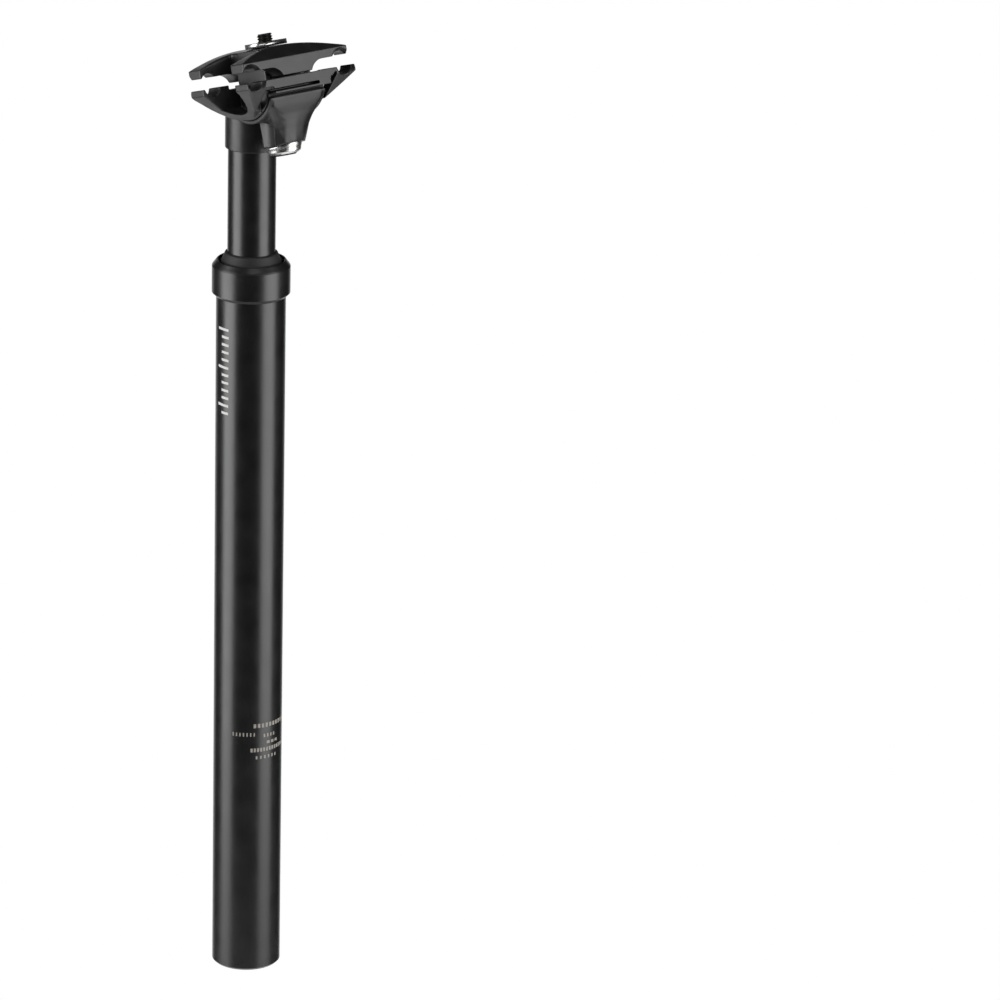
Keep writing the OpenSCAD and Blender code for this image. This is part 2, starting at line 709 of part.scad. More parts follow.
// Dished washer that slides along the head's curved underside
module dished_washer() {
    r = washer_d / 2;
    head_r = bolt_head_d / 2;
    foot_r = head_r + 0.5;
    foot = -washer_seat_r - washer_t;
    rim = -washer_seat_r + 1.2;
    // Steps of the side, each as [outward from the foot or inward from the rim, up]
    ledge = [1.1, 0.8];
    shoulder = [0.3, 2.3];
    rim_foot = 2.8;
    color(zinc) clamp_frame() difference() {
        rotate_extrude() polygon([
            [0, foot], [foot_r, foot], [foot_r + ledge[0], foot + ledge[1]],
            [r - shoulder[0], foot + shoulder[1]], [r, foot + rim_foot], [r, rim], [0, rim]
        ]);
        rotate([90, 0, 0]) cylinder(r = washer_seat_r, h = washer_d + 2 * eps, center = true);
        cylinder(r = bolt_d / 2 + run_gap, h = 4 * washer_seat_r, center = true);
        translate([0, 0, bolt_seat - washer_seat_r])
            cylinder(r = head_r + run_gap, h = washer_seat_r);
    }
}

outer_tube();
top_collar();
wiper_seal();
upper_bushing();
inner_tube();
top_out_bumper();
anti_rotation_keys();
lower_bushing();
retaining_ring();
upper_spring_seat();
coil_spring();
elastomer_core();
lower_spring_seat();
preload_plug();
head();
lower_cradle();
upper_clamp();
nut_plate();
clamp_bolt();
dished_washer();
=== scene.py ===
"""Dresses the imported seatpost.

It adds forged surfaces, threads, printed marks, materials, light and the camera.
"""

import json
import math

import bmesh
import bpy
from mathutils import Matrix, Vector

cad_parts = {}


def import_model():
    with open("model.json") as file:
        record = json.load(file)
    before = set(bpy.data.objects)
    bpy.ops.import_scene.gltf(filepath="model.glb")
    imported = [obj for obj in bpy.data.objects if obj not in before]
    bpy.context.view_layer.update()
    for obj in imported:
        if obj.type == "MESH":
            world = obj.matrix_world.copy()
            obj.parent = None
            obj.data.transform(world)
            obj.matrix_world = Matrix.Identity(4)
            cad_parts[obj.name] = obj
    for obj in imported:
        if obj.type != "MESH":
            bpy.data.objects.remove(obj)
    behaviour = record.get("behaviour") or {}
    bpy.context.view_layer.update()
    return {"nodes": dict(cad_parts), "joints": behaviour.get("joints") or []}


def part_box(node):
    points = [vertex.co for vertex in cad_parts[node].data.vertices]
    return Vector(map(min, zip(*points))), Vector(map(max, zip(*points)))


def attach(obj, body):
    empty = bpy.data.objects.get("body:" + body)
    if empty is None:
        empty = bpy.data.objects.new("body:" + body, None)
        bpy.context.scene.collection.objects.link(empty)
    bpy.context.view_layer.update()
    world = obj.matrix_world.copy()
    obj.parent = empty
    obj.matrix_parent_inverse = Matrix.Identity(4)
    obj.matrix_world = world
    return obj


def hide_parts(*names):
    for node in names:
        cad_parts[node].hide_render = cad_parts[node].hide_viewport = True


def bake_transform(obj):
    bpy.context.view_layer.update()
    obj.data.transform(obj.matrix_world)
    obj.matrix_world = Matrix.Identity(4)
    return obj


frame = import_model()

NODES = frame["nodes"]
JOINTS = {j["name"]: j for j in frame["joints"]}
MM = 0.001

# The clamp frame: origin on the tilt axis, +X along the rails, +Z along the bolt
HINGE = Vector(JOINTS["cradle_tilt"]["pos_m"])
BOLT_UP = Vector(JOINTS["clamp_lift"]["axis"]).normalized()
RAILS = Vector((BOLT_UP.z, 0, -BOLT_UP.x))
CLAMP = Matrix((
    (RAILS.x, 0, BOLT_UP.x, HINGE.x),
    (RAILS.y, 1, BOLT_UP.y, HINGE.y),
    (RAILS.z, 0, BOLT_UP.z, HINGE.z),
    (0, 0, 0, 1),
))


# Sizes, in millimetres where no other unit is given

TUBE_R = 13.6
RAIL_Y = 22
RAIL_R = 3.5

# The ends of the two clamp halves along the rails, and how far open they are held at rest
LOWER_ENDS = (-18.6, 17.4)
UPPER_ENDS = (-16.6, 17.8)
JAW_OPEN = 1.8

# The cone that opens each end of a rail groove: its radius at the end face, its depth, how far
# it stands out of the groove, and how much narrower than the groove its tip is
FLARE_R = 4.7
FLARE_DEPTH = 1.5
FLARE_OVER = 0.4
FLARE_UNDER = 0.05

# The bevels of the nut plate and of the dished washer
PLATE_EDGE = 0.35
WASHER_EDGE = 0.08

# The head's curved underside, and the radius and heights of the room for the washer in it
UNDERSIDE_R = 26.9
ROOM_R = 7.8
ROOM_FOOT = -29
ROOM_TOP = -20

# The bolt's thread: radii, pitch, length, the flat share of its root and crest, and the length
# over which it fades in
THREAD_ROOT = 2.45
THREAD_CREST = 3.0
THREAD_PITCH = 1.0
THREAD_LEN = 15
THREAD_FLAT = 0.1
THREAD_FADE = 0.8
# The chamfer at the thread's end, and its slope
END_CHAMFER = 0.55
END_SLOPE = 1.1

# The coil: radius of the wire and of the coil, turns, closed turns at each end and their gap
WIRE_R = 1.8
COIL_R = 8.0
COIL_TURNS = 20
END_TURNS = 1.5
END_GAP = 0.6
# The turn at which the coil's two lengths meet, and half the gap between them in turns
SPLIT_TURN = 4
SPLIT_GAP = 0.0004

# The bevel of the rod's ends, and half the gap between its two lengths
ROD_EDGE = 0.8
ROD_GAP = 0.02

# How far printed ink stands out of the tube and sinks into it
INK = 0.03

# The depth scale: number of ticks, height of the first, step, thickness, and how often a long
# one comes
TICKS = 12
FIRST_TICK = -11.6
TICK_STEP = 3.08
TICK_TALL = 1
LONG_EVERY = 5
# Where the ticks start and end, in degrees round the tube from the camera's side
SHORT_START = -55
LONG_START = -65
TICK_END = -39

# Rows of dashes near the foot. Each row: first angle, last angle, height, height of a dash,
# width of a dash and step. The angles, widths and steps are in degrees.
DASH_ROWS = (
    (10, 82, -174.2, 1.7, 4.4, 7.2),
    (-26, 16, -177.8, 1.5, 2.2, 6.0),
    (28, 58, -178.6, 1.4, 3.0, 6.5),
    (34, 66, -181.6, 1.2, 6.0, 9.0),
    (5, 84, -184.4, 1.6, 3.6, 5.6),
    (14, 64, -187.6, 1.3, 3.0, 7.5),
)


# Fineness of the meshes

# Size of a voxel in millimetres, and rounds and factor of the smoothing that follows
VOXEL = 0.2
HEAD_ROUNDS = 14
CLAMP_ROUNDS = 12
BROAD_ROUNDS = 100
SMOOTHING = 0.5
# Sides of a flare, rows of the thread in a turn, steps of the wire in a turn and its sides
FLARE_SIDES = 64
THREAD_ROWS = 8
WIRE_STEPS = 48
WIRE_SIDES = 16
ROD_SEGMENTS = 4
# Step of the ink round the tube, in degrees
INK_STEP = 4
# Edges sharper than this stay sharp, and corners closer than this, in metres, are joined
SHARP = math.radians(40)
WELD = 1e-6


# Camera, lamps and floor, in metres, degrees and watts

# The camera is fitted to the photograph's whole figure
CAMERA_AT = Vector((-1.66375645, 1.36176888, 0.632))
CAMERA_RIGHT = Vector((-0.66278338, -0.74851265, 0.02114256))
CAMERA_UP = Vector((0.24949418, -0.19412127, 0.94871997))
FOCAL_MM = 207.215
SENSOR_MM = 36
CLIP_NEAR = 0.1
CLIP_FAR = 20
TOWARDS = Vector((CAMERA_AT.x, CAMERA_AT.y, 0)).normalized()
LEFTWARDS = Vector((TOWARDS.y, -TOWARDS.x, 0))

# Each lamp: name, angle from the camera's direction, height and distance, then its own width,
# height and power. All are aimed at one point on the post's axis.
LAMPS = (
    ("left_strip", -75, 0.1, 1.3, 1.05, 1.8, 24),
    ("right_strip", 62, 0.1, 1.3, 1.1, 1.8, 21),
    ("top_panel", 20, 1.4, 0.4, 0.6, 0.6, 3),
)
LAMPS_AIM = Vector((0, 0, -0.06))

# The room's colour, how far its white backdrop is turned from straight behind the post, and the
# angles from the backdrop's middle at which it begins and is full
ROOM_COLOUR = (0.025, 0.025, 0.026)
BACKDROP_TURN = 5
BACKDROP_EDGE = 34
BACKDROP_FULL = 22

# The round floor's radius, height, sides and glow
FLOOR_R = 0.6
FLOOR_Z = -0.6
FLOOR_SIDES = 96
FLOOR_GLOW = 0.6


# Materials


def shader(name, color, roughness, metallic=0.0, ior=1.5):
    """A new material, its node tree, its shader and object coordinates in millimetres."""
    mat = bpy.data.materials.new(name)
    mat.use_nodes = True
    tree = mat.node_tree
    bsdf = tree.nodes["Principled BSDF"]
    bsdf.inputs["Base Color"].default_value = (*color, 1)
    bsdf.inputs["Roughness"].default_value = roughness
    bsdf.inputs["Metallic"].default_value = metallic
    bsdf.inputs["IOR"].default_value = ior
    coords = tree.nodes.new("ShaderNodeTexCoord")
    scale = tree.nodes.new("ShaderNodeVectorMath")
    scale.operation = "SCALE"
    scale.inputs["Scale"].default_value = 1 / MM
    tree.links.new(coords.outputs["Object"], scale.inputs[0])
    return mat, tree, bsdf, scale.outputs[0]


def stretched(tree, vector, factors):
    """The vector with each axis multiplied by its factor."""
    node = tree.nodes.new("ShaderNodeVectorMath")
    node.operation = "MULTIPLY"
    node.inputs[1].default_value = factors
    tree.links.new(vector, node.inputs[0])
    return node.outputs[0]


def noise(tree, vector, size, detail=2.0, roughness=0.5):
    """Noise whose features are about size millimetres across."""
    node = tree.nodes.new("ShaderNodeTexNoise")
    node.inputs["Scale"].default_value = 1 / size
    node.inputs["Detail"].default_value = detail
    node.inputs["Roughness"].default_value = roughness
    tree.links.new(vector, node.inputs["Vector"])
    return node.outputs["Fac"]


def spread(tree, value, low, high, start=0.3, stop=0.7):
    """Maps the middle of a noise onto the range from low to high."""
    node = tree.nodes.new("ShaderNodeMapRange")
    node.inputs["From Min"].default_value = start
    node.inputs["From Max"].default_value = stop
    node.inputs["To Min"].default_value = low
    node.inputs["To Max"].default_value = high
    tree.links.new(value, node.inputs["Value"])
    return node.outputs["Result"]


def colours(tree, bsdf, value, dark, light):
    """Colours the shader between two colours by a value from 0 to 1."""
    node = tree.nodes.new("ShaderNodeMix")
    node.data_type = "RGBA"
    node.inputs["A"].default_value = (*dark, 1)
    node.inputs["B"].default_value = (*light, 1)
    tree.links.new(value, node.inputs["Factor"])
    tree.links.new(node.outputs["Result"], bsdf.inputs["Base Color"])


def bump(tree, bsdf, value, depth_mm, strength=1.0):
    """Raises the surface by a value, to a depth in millimetres."""
    node = tree.nodes.new("ShaderNodeBump")
    node.inputs["Distance"].default_value = depth_mm * MM
    node.inputs["Strength"].default_value = strength
    tree.links.new(value, node.inputs["Height"])
    tree.links.new(node.outputs["Normal"], bsdf.inputs["Normal"])


def turned_black():
    """Black anodised tube: drawn and turned aluminium under a satin skin."""
    mat, tree, bsdf, at = shader("turned_black", (0.008, 0.008, 0.009), 0.3, ior=1.62)
    rings = noise(tree, stretched(tree, at, (0.02, 0.02, 1)), 0.12, 1.0)
    patches = noise(tree, at, 9.0, 3.0)
    shade = spread(tree, patches, 0, 1)
    colours(tree, bsdf, shade, (0.0035, 0.0035, 0.004), (0.007, 0.007, 0.0075))
    tree.links.new(spread(tree, patches, 0.29, 0.34), bsdf.inputs["Roughness"])
    bump(tree, bsdf, rings, 0.002, 0.4)
    return mat


def blasted_black():
    """Black forged aluminium: shot-blasted, then anodised, duller than the tubes."""
    mat, tree, bsdf, at = shader("blasted_black", (0.011, 0.011, 0.012), 0.38, ior=1.56)
    grains = noise(tree, at, 0.22, 3.0, 0.6)
    patches = noise(tree, at, 5.0, 3.0)
    colours(tree, bsdf, spread(tree, patches, 0, 1), (0.008, 0.008, 0.0085), (0.014, 0.014, 0.015))
    tree.links.new(spread(tree, patches, 0.34, 0.42), bsdf.inputs["Roughness"])
    bump(tree, bsdf, grains, 0.02, 0.35)
    return mat


def soft_rubber():
    """Dull black wiper rubber with a faint moulded grain."""
    mat, tree, bsdf, at = shader("soft_rubber", (0.012, 0.012, 0.012), 0.62)
    grains = noise(tree, at, 0.35, 2.0)
    colours(tree, bsdf, spread(tree, grains, 0, 1), (0.009, 0.009, 0.009), (0.016, 0.016, 0.016))
    tree.links.new(spread(tree, grains, 0.56, 0.68), bsdf.inputs["Roughness"])
    bump(tree, bsdf, grains, 0.02, 0.25)
    return mat


def zinc_plate():
    """Bright zinc on steel, with a soft cloudy crystal."""
    mat, tree, bsdf, at = shader("zinc_plate", (0.66, 0.66, 0.65), 0.3, metallic=1.0)
    clouds = noise(tree, at, 1.6, 4.0, 0.6)
    scratches = noise(tree, stretched(tree, at, (0.25, 1, 1)), 0.2, 2.0)
    colours(tree, bsdf, spread(tree, clouds, 0, 1), (0.58, 0.58, 0.575), (0.74, 0.74, 0.73))
    tree.links.new(spread(tree, clouds, 0.24, 0.38), bsdf.inputs["Roughness"])
    bump(tree, bsdf, scratches, 0.01, 0.3)
    return mat


def black_oxide():
    """Blackened steel of the bolt and the plug, oily and slightly brown."""
    mat, tree, bsdf, at = shader("black_oxide", (0.035, 0.034, 0.033), 0.36, metallic=0.85)
    clouds = noise(tree, at, 1.1, 3.0)
    colours(tree, bsdf, spread(tree, clouds, 0, 1), (0.026, 0.026, 0.026), (0.055, 0.052, 0.048))
    tree.links.new(spread(tree, clouds, 0.3, 0.45), bsdf.inputs["Roughness"])
    bump(tree, bsdf, noise(tree, at, 0.15, 2.0), 0.01, 0.25)
    return mat


def spring_wire():
    """Oiled phosphated spring steel, drawn along the wire."""
    mat, tree, bsdf, at = shader("spring_wire", (0.2, 0.2, 0.21), 0.4, metallic=0.9)
    clouds = noise(tree, at, 0.8, 3.0)
    colours(tree, bsdf, spread(tree, clouds, 0, 1), (0.15, 0.15, 0.16), (0.27, 0.27, 0.28))
    tree.links.new(spread(tree, clouds, 0.34, 0.5), bsdf.inputs["Roughness"])
    bump(tree, bsdf, clouds, 0.01, 0.3)
    return mat


def acetal():
    """Natural machined acetal of the bushings and the spring seats."""
    mat, tree, bsdf, at = shader("acetal", (0.72, 0.69, 0.6), 0.42)
    rings = noise(tree, stretched(tree, at, (0.05, 0.05, 1)), 0.2, 1.0)
    colours(tree, bsdf, spread(tree, rings, 0, 1), (0.68, 0.65, 0.56), (0.76, 0.73, 0.64))
    tree.links.new(spread(tree, rings, 0.38, 0.48), bsdf.inputs["Roughness"])
    bump(tree, bsdf, rings, 0.01, 0.3)
    return mat


def cut_brass():
    """Brass keys cut from bar, with fine saw lines."""
    mat, tree, bsdf, at = shader("cut_brass", (0.72, 0.52, 0.24), 0.3, metallic=1.0)
    lines = noise(tree, stretched(tree, at, (1, 1, 0.1)), 0.15, 2.0)
    colours(tree, bsdf, spread(tree, lines, 0, 1), (0.66, 0.46, 0.2), (0.78, 0.57, 0.28))
    tree.links.new(spread(tree, lines, 0.25, 0.4), bsdf.inputs["Roughness"])
    bump(tree, bsdf, lines, 0.01, 0.3)
    return mat


def amber_urethane():
    """Translucent-looking amber elastomer with faint flow clouds."""
    mat, tree, bsdf, at = shader("amber_urethane", (0.62, 0.3, 0.06), 0.35)
    clouds = noise(tree, at, 4.0, 2.0)
    colours(tree, bsdf, spread(tree, clouds, 0, 1), (0.55, 0.24, 0.04), (0.7, 0.37, 0.09))
    tree.links.new(spread(tree, clouds, 0.3, 0.42), bsdf.inputs["Roughness"])
    bump(tree, bsdf, clouds, 0.02, 0.2)
    return mat


def print_ink(name, dark, light):
    """Pad-printed ink, slightly uneven where it dried."""
    mat, tree, bsdf, at = shader(name, light, 0.55)
    clouds = noise(tree, at, 0.6, 3.0)
    colours(tree, bsdf, spread(tree, clouds, 0, 1), dark, light)
    tree.links.new(spread(tree, clouds, 0.5, 0.62), bsdf.inputs["Roughness"])
    bump(tree, bsdf, clouds, 0.005, 0.3)
    return mat


TURNED_BLACK = turned_black()
BLASTED_BLACK = blasted_black()
RUBBER = soft_rubber()
ZINC = zinc_plate()
BLACK_OXIDE = black_oxide()
SPRING_WIRE = spring_wire()
ACETAL = acetal()
BRASS = cut_brass()
URETHANE = amber_urethane()
WHITE_INK = print_ink("white_ink", (0.62, 0.62, 0.61), (0.72, 0.72, 0.7))
SAND_INK = print_ink("sand_ink", (0.26, 0.24, 0.21), (0.42, 0.4, 0.36))

FINISHES = {
    "outer_tube": TURNED_BLACK, "top_collar": TURNED_BLACK, "inner_tube": TURNED_BLACK,
    "wiper_seal": RUBBER, "top_out_bumper": RUBBER, "upper_bushing": ACETAL,
    "lower_bushing": ACETAL, "upper_spring_seat": ACETAL, "lower_spring_seat": ACETAL,
    "anti_rotation_keys": BRASS, "retaining_ring": SPRING_WIRE, "coil_spring": SPRING_WIRE,
    "elastomer_core": URETHANE, "preload_plug": BLACK_OXIDE, "head": BLASTED_BLACK,
    "lower_cradle": BLASTED_BLACK, "upper_clamp": BLASTED_BLACK, "nut_plate": ZINC,
    "clamp_bolt": BLACK_OXIDE, "dished_washer": ZINC,
}


def paint(obj, mat):
    """Gives an object one material."""
    obj.data.materials.clear()
    obj.data.materials.append(mat)


# Pieces


def placed(name, data):
    """A new object in the scene."""
    obj = bpy.data.objects.new(name, data)
    bpy.context.scene.collection.objects.link(obj)
    return obj


def add(name, mesh, body, mat):
    """A new piece that rides on a CAD body."""
    obj = placed(name, mesh)
    paint(obj, mat)
    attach(obj, body)
    return obj


def baked(obj):
    """The mesh of an object with its modifiers applied; the object itself goes."""
    graph = bpy.context.evaluated_depsgraph_get()
    mesh = bpy.data.meshes.new_from_object(obj.evaluated_get(graph))
    bpy.data.objects.remove(obj)
    mesh.shade_smooth()
    return mesh


def welded(node):
    """A bmesh of a CAD node with its corners joined."""
    mesh = bmesh.new()
    mesh.from_mesh(NODES[node].data)
    bmesh.ops.remove_doubles(mesh, verts=mesh.verts, dist=WELD)
    return mesh


def working_copy(node):
    """A free copy of a CAD node to change, with its corners joined."""
    data = NODES[node].data.copy()
    mesh = welded(node)
    mesh.to_mesh(data)
    mesh.free()
    return placed(node + "_work", data)


def mesh_data(name, mesh):
    """The finished mesh of a bmesh, which is freed."""
    data = bpy.data.meshes.new(name)
    mesh.to_mesh(data)
    mesh.free()
    return data


def cut_off(mesh, height, way, kind):
    """Drops what lies past a height, and gives the parts of one kind on the rim of the cut.

    The way is 1 to drop what is above, and -1 to drop what is below.
    """
    cut = bmesh.ops.bisect_plane(
        mesh, geom=mesh.verts[:] + mesh.edges[:] + mesh.faces[:],
        plane_co=(0, 0, height), plane_no=(0, 0, way), clear_outer=True)
    return [part for part in cut["geom_cut"] if isinstance(part, kind)]


def around(radius, angle, height):
    """A point at an angle in radians round the Z axis."""
    return (radius * math.cos(angle), radius * math.sin(angle), height)


def ramp(x, low, high):
    """0 below low, 1 above high, smooth between."""
    t = min(max((x - low) / (high - low), 0), 1)
    return t * t * (3 - 2 * t)


def smooth(obj, rounds, group=""):
    """Smooths an object, within a vertex group if one is named."""
    soft = obj.modifiers.new("smooth", "SMOOTH")
    soft.factor = SMOOTHING
    soft.iterations = rounds
    soft.vertex_group = group


def forged(node, body, rounds, frame_of, broad=None, cutter=None):
    """A node rebuilt with the soft edges of a forging, in a frame of its own.

    The cutter is an object that is cut away first. Broad gives each point's weight for a
    further smoothing.
    """
    obj = working_copy(node)
    obj.data.transform(frame_of.inverted())
    if cutter:
        cut = obj.modifiers.new("cut", "BOOLEAN")
        cut.operation = "DIFFERENCE"
        cut.solver = "EXACT"
        cut.object = cutter
    remesh = obj.modifiers.new("voxels", "REMESH")
    remesh.mode = "VOXEL"
    remesh.voxel_size = VOXEL * MM
    mesh = baked(obj)
    if cutter:
        bpy.data.objects.remove(cutter)
    obj = placed(node + "_smooth", mesh)
    smooth(obj, rounds)
    if broad:
        group = obj.vertex_groups.new(name="broad")
        for v in mesh.vertices:
            weight = broad(v.co)
            if weight > 0:
                group.add([v.index], weight, "REPLACE")
        smooth(obj, BROAD_ROUNDS, group.name)
    mesh = baked(obj)
    mesh.transform(frame_of)
    piece = add(node + "_forged", mesh, body, FINISHES[node])
    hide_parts(node)
    return piece


def flares(ends, height):
    """Cones that open the ends of both rail grooves, in the clamp frame."""
    slope = (FLARE_R - RAIL_R) / FLARE_DEPTH
    mesh = bmesh.new()
    for y in (-RAIL_Y, RAIL_Y):
        for x, way in zip(ends, (-1, 1)):
            at = Vector((x + way * (FLARE_OVER - FLARE_DEPTH) / 2, y, height)) * MM
            turn = Matrix.Rotation(way * math.pi / 2, 4, "Y")
            bmesh.ops.create_cone(
                mesh, cap_ends=True, segments=FLARE_SIDES,
                radius1=(RAIL_R - FLARE_UNDER) * MM,
                radius2=(FLARE_R + slope * FLARE_OVER) * MM,
                depth=(FLARE_DEPTH + FLARE_OVER) * MM,
                matrix=Matrix.Translation(at) @ turn)
    return placed("flares", mesh_data("flares", mesh))


def boss_weight(p):
    """Weight of the broad smoothing on the head's rear boss and on its neck to the column.

    Each ramp runs between two distances from the tilt axis, in millimetres.
    """
    drop = (HINGE.z - p.z) / MM
    reach = (HINGE.x - p.x) / MM
    side = abs(p.y) / MM
    from_axis = math.hypot(drop, reach)
    flank = ramp(reach, 1, 4) * ramp(drop, 4.5, 6.5) * (1 - ramp(from_axis, 24.6, 25.8))
    flank *= ramp(from_axis, 16.8, 17.8)
    corner = ramp(drop, 14, 17) * ramp(side, 5.6, 6.6) * ramp(reach, 8, 9.5)
    neck = ramp(drop, 16, 18) * ramp(reach, -4, -1.5) * (1 - ramp(from_axis, 26, 27))
    return max(flank * (1 - corner), neck * (1 - ramp(reach, 4, 6)))


def crown_weight(p):
    """Weight of the broad smoothing on the top of the upper clamp, in the clamp frame."""
    return ramp(p.z / MM, 7.5, 9) * ramp(abs(p.x) / MM, 5.5, 7)


def washer_room(mesh):
    """Keeps a corner of the head's recess as open as the washer needs at the lowest tilt."""
    tilt = math.radians(JOINTS["cradle_tilt"]["range_deg"][0])
    place = CLAMP @ Matrix.Rotation(tilt, 4, "Y")
    back = place.inverted()
    for v in mesh.vertices:
        p = (back @ v.co) / MM
        if p.x < 0 or not ROOM_FOOT < p.z < ROOM_TOP:
            continue
        r = math.hypot(p.x, p.y)
        far = math.hypot(p.x, p.z)
        if r < ROOM_R and far > UNDERSIDE_R:
            if far - UNDERSIDE_R < ROOM_R - r:
                p.x, p.z = p.x * UNDERSIDE_R / far, p.z * UNDERSIDE_R / far
            else:
                p.x, p.y = p.x * ROOM_R / r, p.y * ROOM_R / r
            v.co = place @ (p * MM)


def bevel(obj, width, segments):
    """Breaks an object's sharp edges, to a width in millimetres."""
    edge = obj.modifiers.new("edges", "BEVEL")
    edge.width = width * MM
    edge.segments = segments
    edge.limit_method = "ANGLE"
    return edge


def bevelled(node, body, width, segments, limit):
    """A node with a small bevel on the edges that turn by more than a limit in degrees."""
    obj = working_copy(node)
    edge = bevel(obj, width, segments)
    edge.angle_limit = math.radians(limit)
    edge.harden_normals = True
    piece = add(node + "_bevelled", baked(obj), body, FINISHES[node])
    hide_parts(node)


def thread_radius(turn, height):
    """Radius of a V thread with flats at a turn from 0 to 1 and a height along the axis."""
    phase = (height / THREAD_PITCH - turn) % 1
    ridge = 1 - abs(2 * phase - 1)
    flank = (ridge - THREAD_FLAT) / (1 - 2 * THREAD_FLAT)
    return THREAD_ROOT + (THREAD_CREST - THREAD_ROOT) * min(1, max(0, flank))


def clamp_bolt():
    """The bolt with a real helical thread, which grows from its shank; its head is the CAD one."""
    mesh = welded("clamp_bolt")
    mesh.transform(CLAMP.inverted())
    top = max(v.co.z for v in mesh.verts) / MM
    start = top - THREAD_LEN
    rim = cut_off(mesh, start * MM, 1, bmesh.types.BMVert)
    rim.sort(key=lambda v: math.atan2(v.co.y, v.co.x))
    angles = [math.atan2(v.co.y, v.co.x) for v in rim]
    rows = int((top - start) / THREAD_PITCH * THREAD_ROWS)
    grid = [rim]
    for i in range(1, rows + 1):
        height = start + (top - start) * i / rows
        fade = ramp(height, start, start + THREAD_FADE)
        ring = []
        for a in angles:
            r = thread_radius(a / (2 * math.pi), height)
            r = THREAD_CREST + (r - THREAD_CREST) * fade
            r = min(r, THREAD_CREST - END_CHAMFER + (top - height) * END_SLOPE)
            ring.append(mesh.verts.new(around(r * MM, a, height * MM)))
        grid.append(ring)
    for before, ring in zip(grid, grid[1:]):
        for k in range(len(rim)):
            n = (k + 1) % len(rim)
            mesh.faces.new((before[k], before[n], ring[n], ring[k]))
    mesh.faces.new(grid[-1])
    mesh.transform(CLAMP)
    data = mesh_data("clamp_bolt_threaded", mesh)
    data.shade_smooth()
    data.set_sharp_from_angle(angle=SHARP)
    piece = add("clamp_bolt_threaded", data, "bolt", BLACK_OXIDE)
    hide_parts("clamp_bolt")


def springy(name, mesh, mat, node):
    """One length of a springy piece on the post's axis."""
    obj = placed(name, mesh)
    paint(obj, mat)
    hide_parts(node)
    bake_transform(obj)


def coil(name, first, last, height_at):
    """The wire between two turns, with its ends closed."""
    mesh = bmesh.new()
    count = round((last - first) * WIRE_STEPS)
    ring = None
    for i in range(count + 1):
        turn = first + (last - first) * i / count
        before = ring
        ring = []
        for k in range(WIRE_SIDES):
            b = 2 * math.pi * k / WIRE_SIDES
            r = (COIL_R + WIRE_R * math.cos(b)) * MM
            z = height_at(turn) + WIRE_R * MM * math.sin(b)
            ring.append(mesh.verts.new(around(r, 2 * math.pi * turn, z)))
        if before:
            for k in range(WIRE_SIDES):
                n = (k + 1) % WIRE_SIDES
                mesh.faces.new((before[k], ring[k], ring[n], before[n]))
        else:
            mesh.faces.new(ring)
    mesh.faces.new(reversed(ring))
    data = mesh_data(name, mesh)
    data.shade_smooth()
    return data


def coil_spring():
    """The coil with a round wire; gives the height at which its two lengths meet.
    """
    low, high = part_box("coil_spring")
    start = low.z + WIRE_R * MM
    rise = high.z - low.z - 2 * WIRE_R * MM
    end_pitch = (2 * WIRE_R + END_GAP) * MM
    end_rise = END_TURNS * end_pitch
    pitch = (rise - 2 * end_rise) / (COIL_TURNS - 2 * END_TURNS)

    def height_at(turn):
        if turn < END_TURNS:
            return start + turn * end_pitch
        if turn < COIL_TURNS - END_TURNS:
            return start + end_rise + (turn - END_TURNS) * pitch
        return start + rise - (COIL_TURNS - turn) * end_pitch

    split = height_at(SPLIT_TURN)
    foot = coil("coil_spring_foot", 0, SPLIT_TURN - SPLIT_GAP, height_at)
    springy("coil_spring_foot", foot,
            SPRING_WIRE, "coil_spring")
    upper = coil("coil_spring_upper", SPLIT_TURN + SPLIT_GAP, COIL_TURNS, height_at)
    springy("coil_spring_upper", upper,
            SPRING_WIRE, "coil_spring")
    return split


def elastomer_core(split):
    """The rod with bevelled ends, in two lengths that meet where the coil's two lengths meet."""
    low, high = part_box("elastomer_core")
    lengths = (
        ("elastomer_rod_foot", ("preload_seat", "outer"), (low.z, split), -1),
        ("elastomer_rod_upper", ("outer", "shaft"), (split, high.z), 1),
    )
    for name, bodies, heights, side in lengths:
        obj = working_copy("elastomer_core")
        bevel(obj, ROD_EDGE, ROD_SEGMENTS)
        data = baked(obj)
        mesh = bmesh.new()
        mesh.from_mesh(data)
        rim = cut_off(mesh, split + side * ROD_GAP * MM, -side, bmesh.types.BMEdge)
        bmesh.ops.contextual_create(mesh, geom=rim)
        bmesh.ops.recalc_face_normals(mesh, faces=mesh.faces)
        mesh.to_mesh(data)
        mesh.free()
        data.set_sharp_from_angle(angle=SHARP)
        springy(name, data, URETHANE, "elastomer_core")


def printed(name, patches, mat):
    """Thin patches of ink on the lower tube.

    Each patch has two angles in degrees and two heights in millimetres.
    """
    mesh = bmesh.new()
    radius = TUBE_R * MM
    skin = INK * MM
    for a0, a1, z0, z1 in patches:
        steps = max(1, math.ceil(abs(a1 - a0) / INK_STEP))
        rings = []
        for i in range(steps + 1):
            a = math.radians(a0 + (a1 - a0) * i / steps)
            rings.append([
                mesh.verts.new(around(r, a, z * MM))
                for r in (radius - skin, radius + skin) for z in (z0, z1)])
        for p, q in zip(rings, rings[1:]):
            for m, n in ((0, 1), (1, 3), (3, 2), (2, 0)):
                mesh.faces.new((p[m], q[m], q[n], p[n]))
        for ring in (rings[0], rings[-1]):
            mesh.faces.new((ring[0], ring[1], ring[3], ring[2]))
    bmesh.ops.recalc_face_normals(mesh, faces=mesh.faces)
    add(name, mesh_data(name, mesh), "outer", mat)


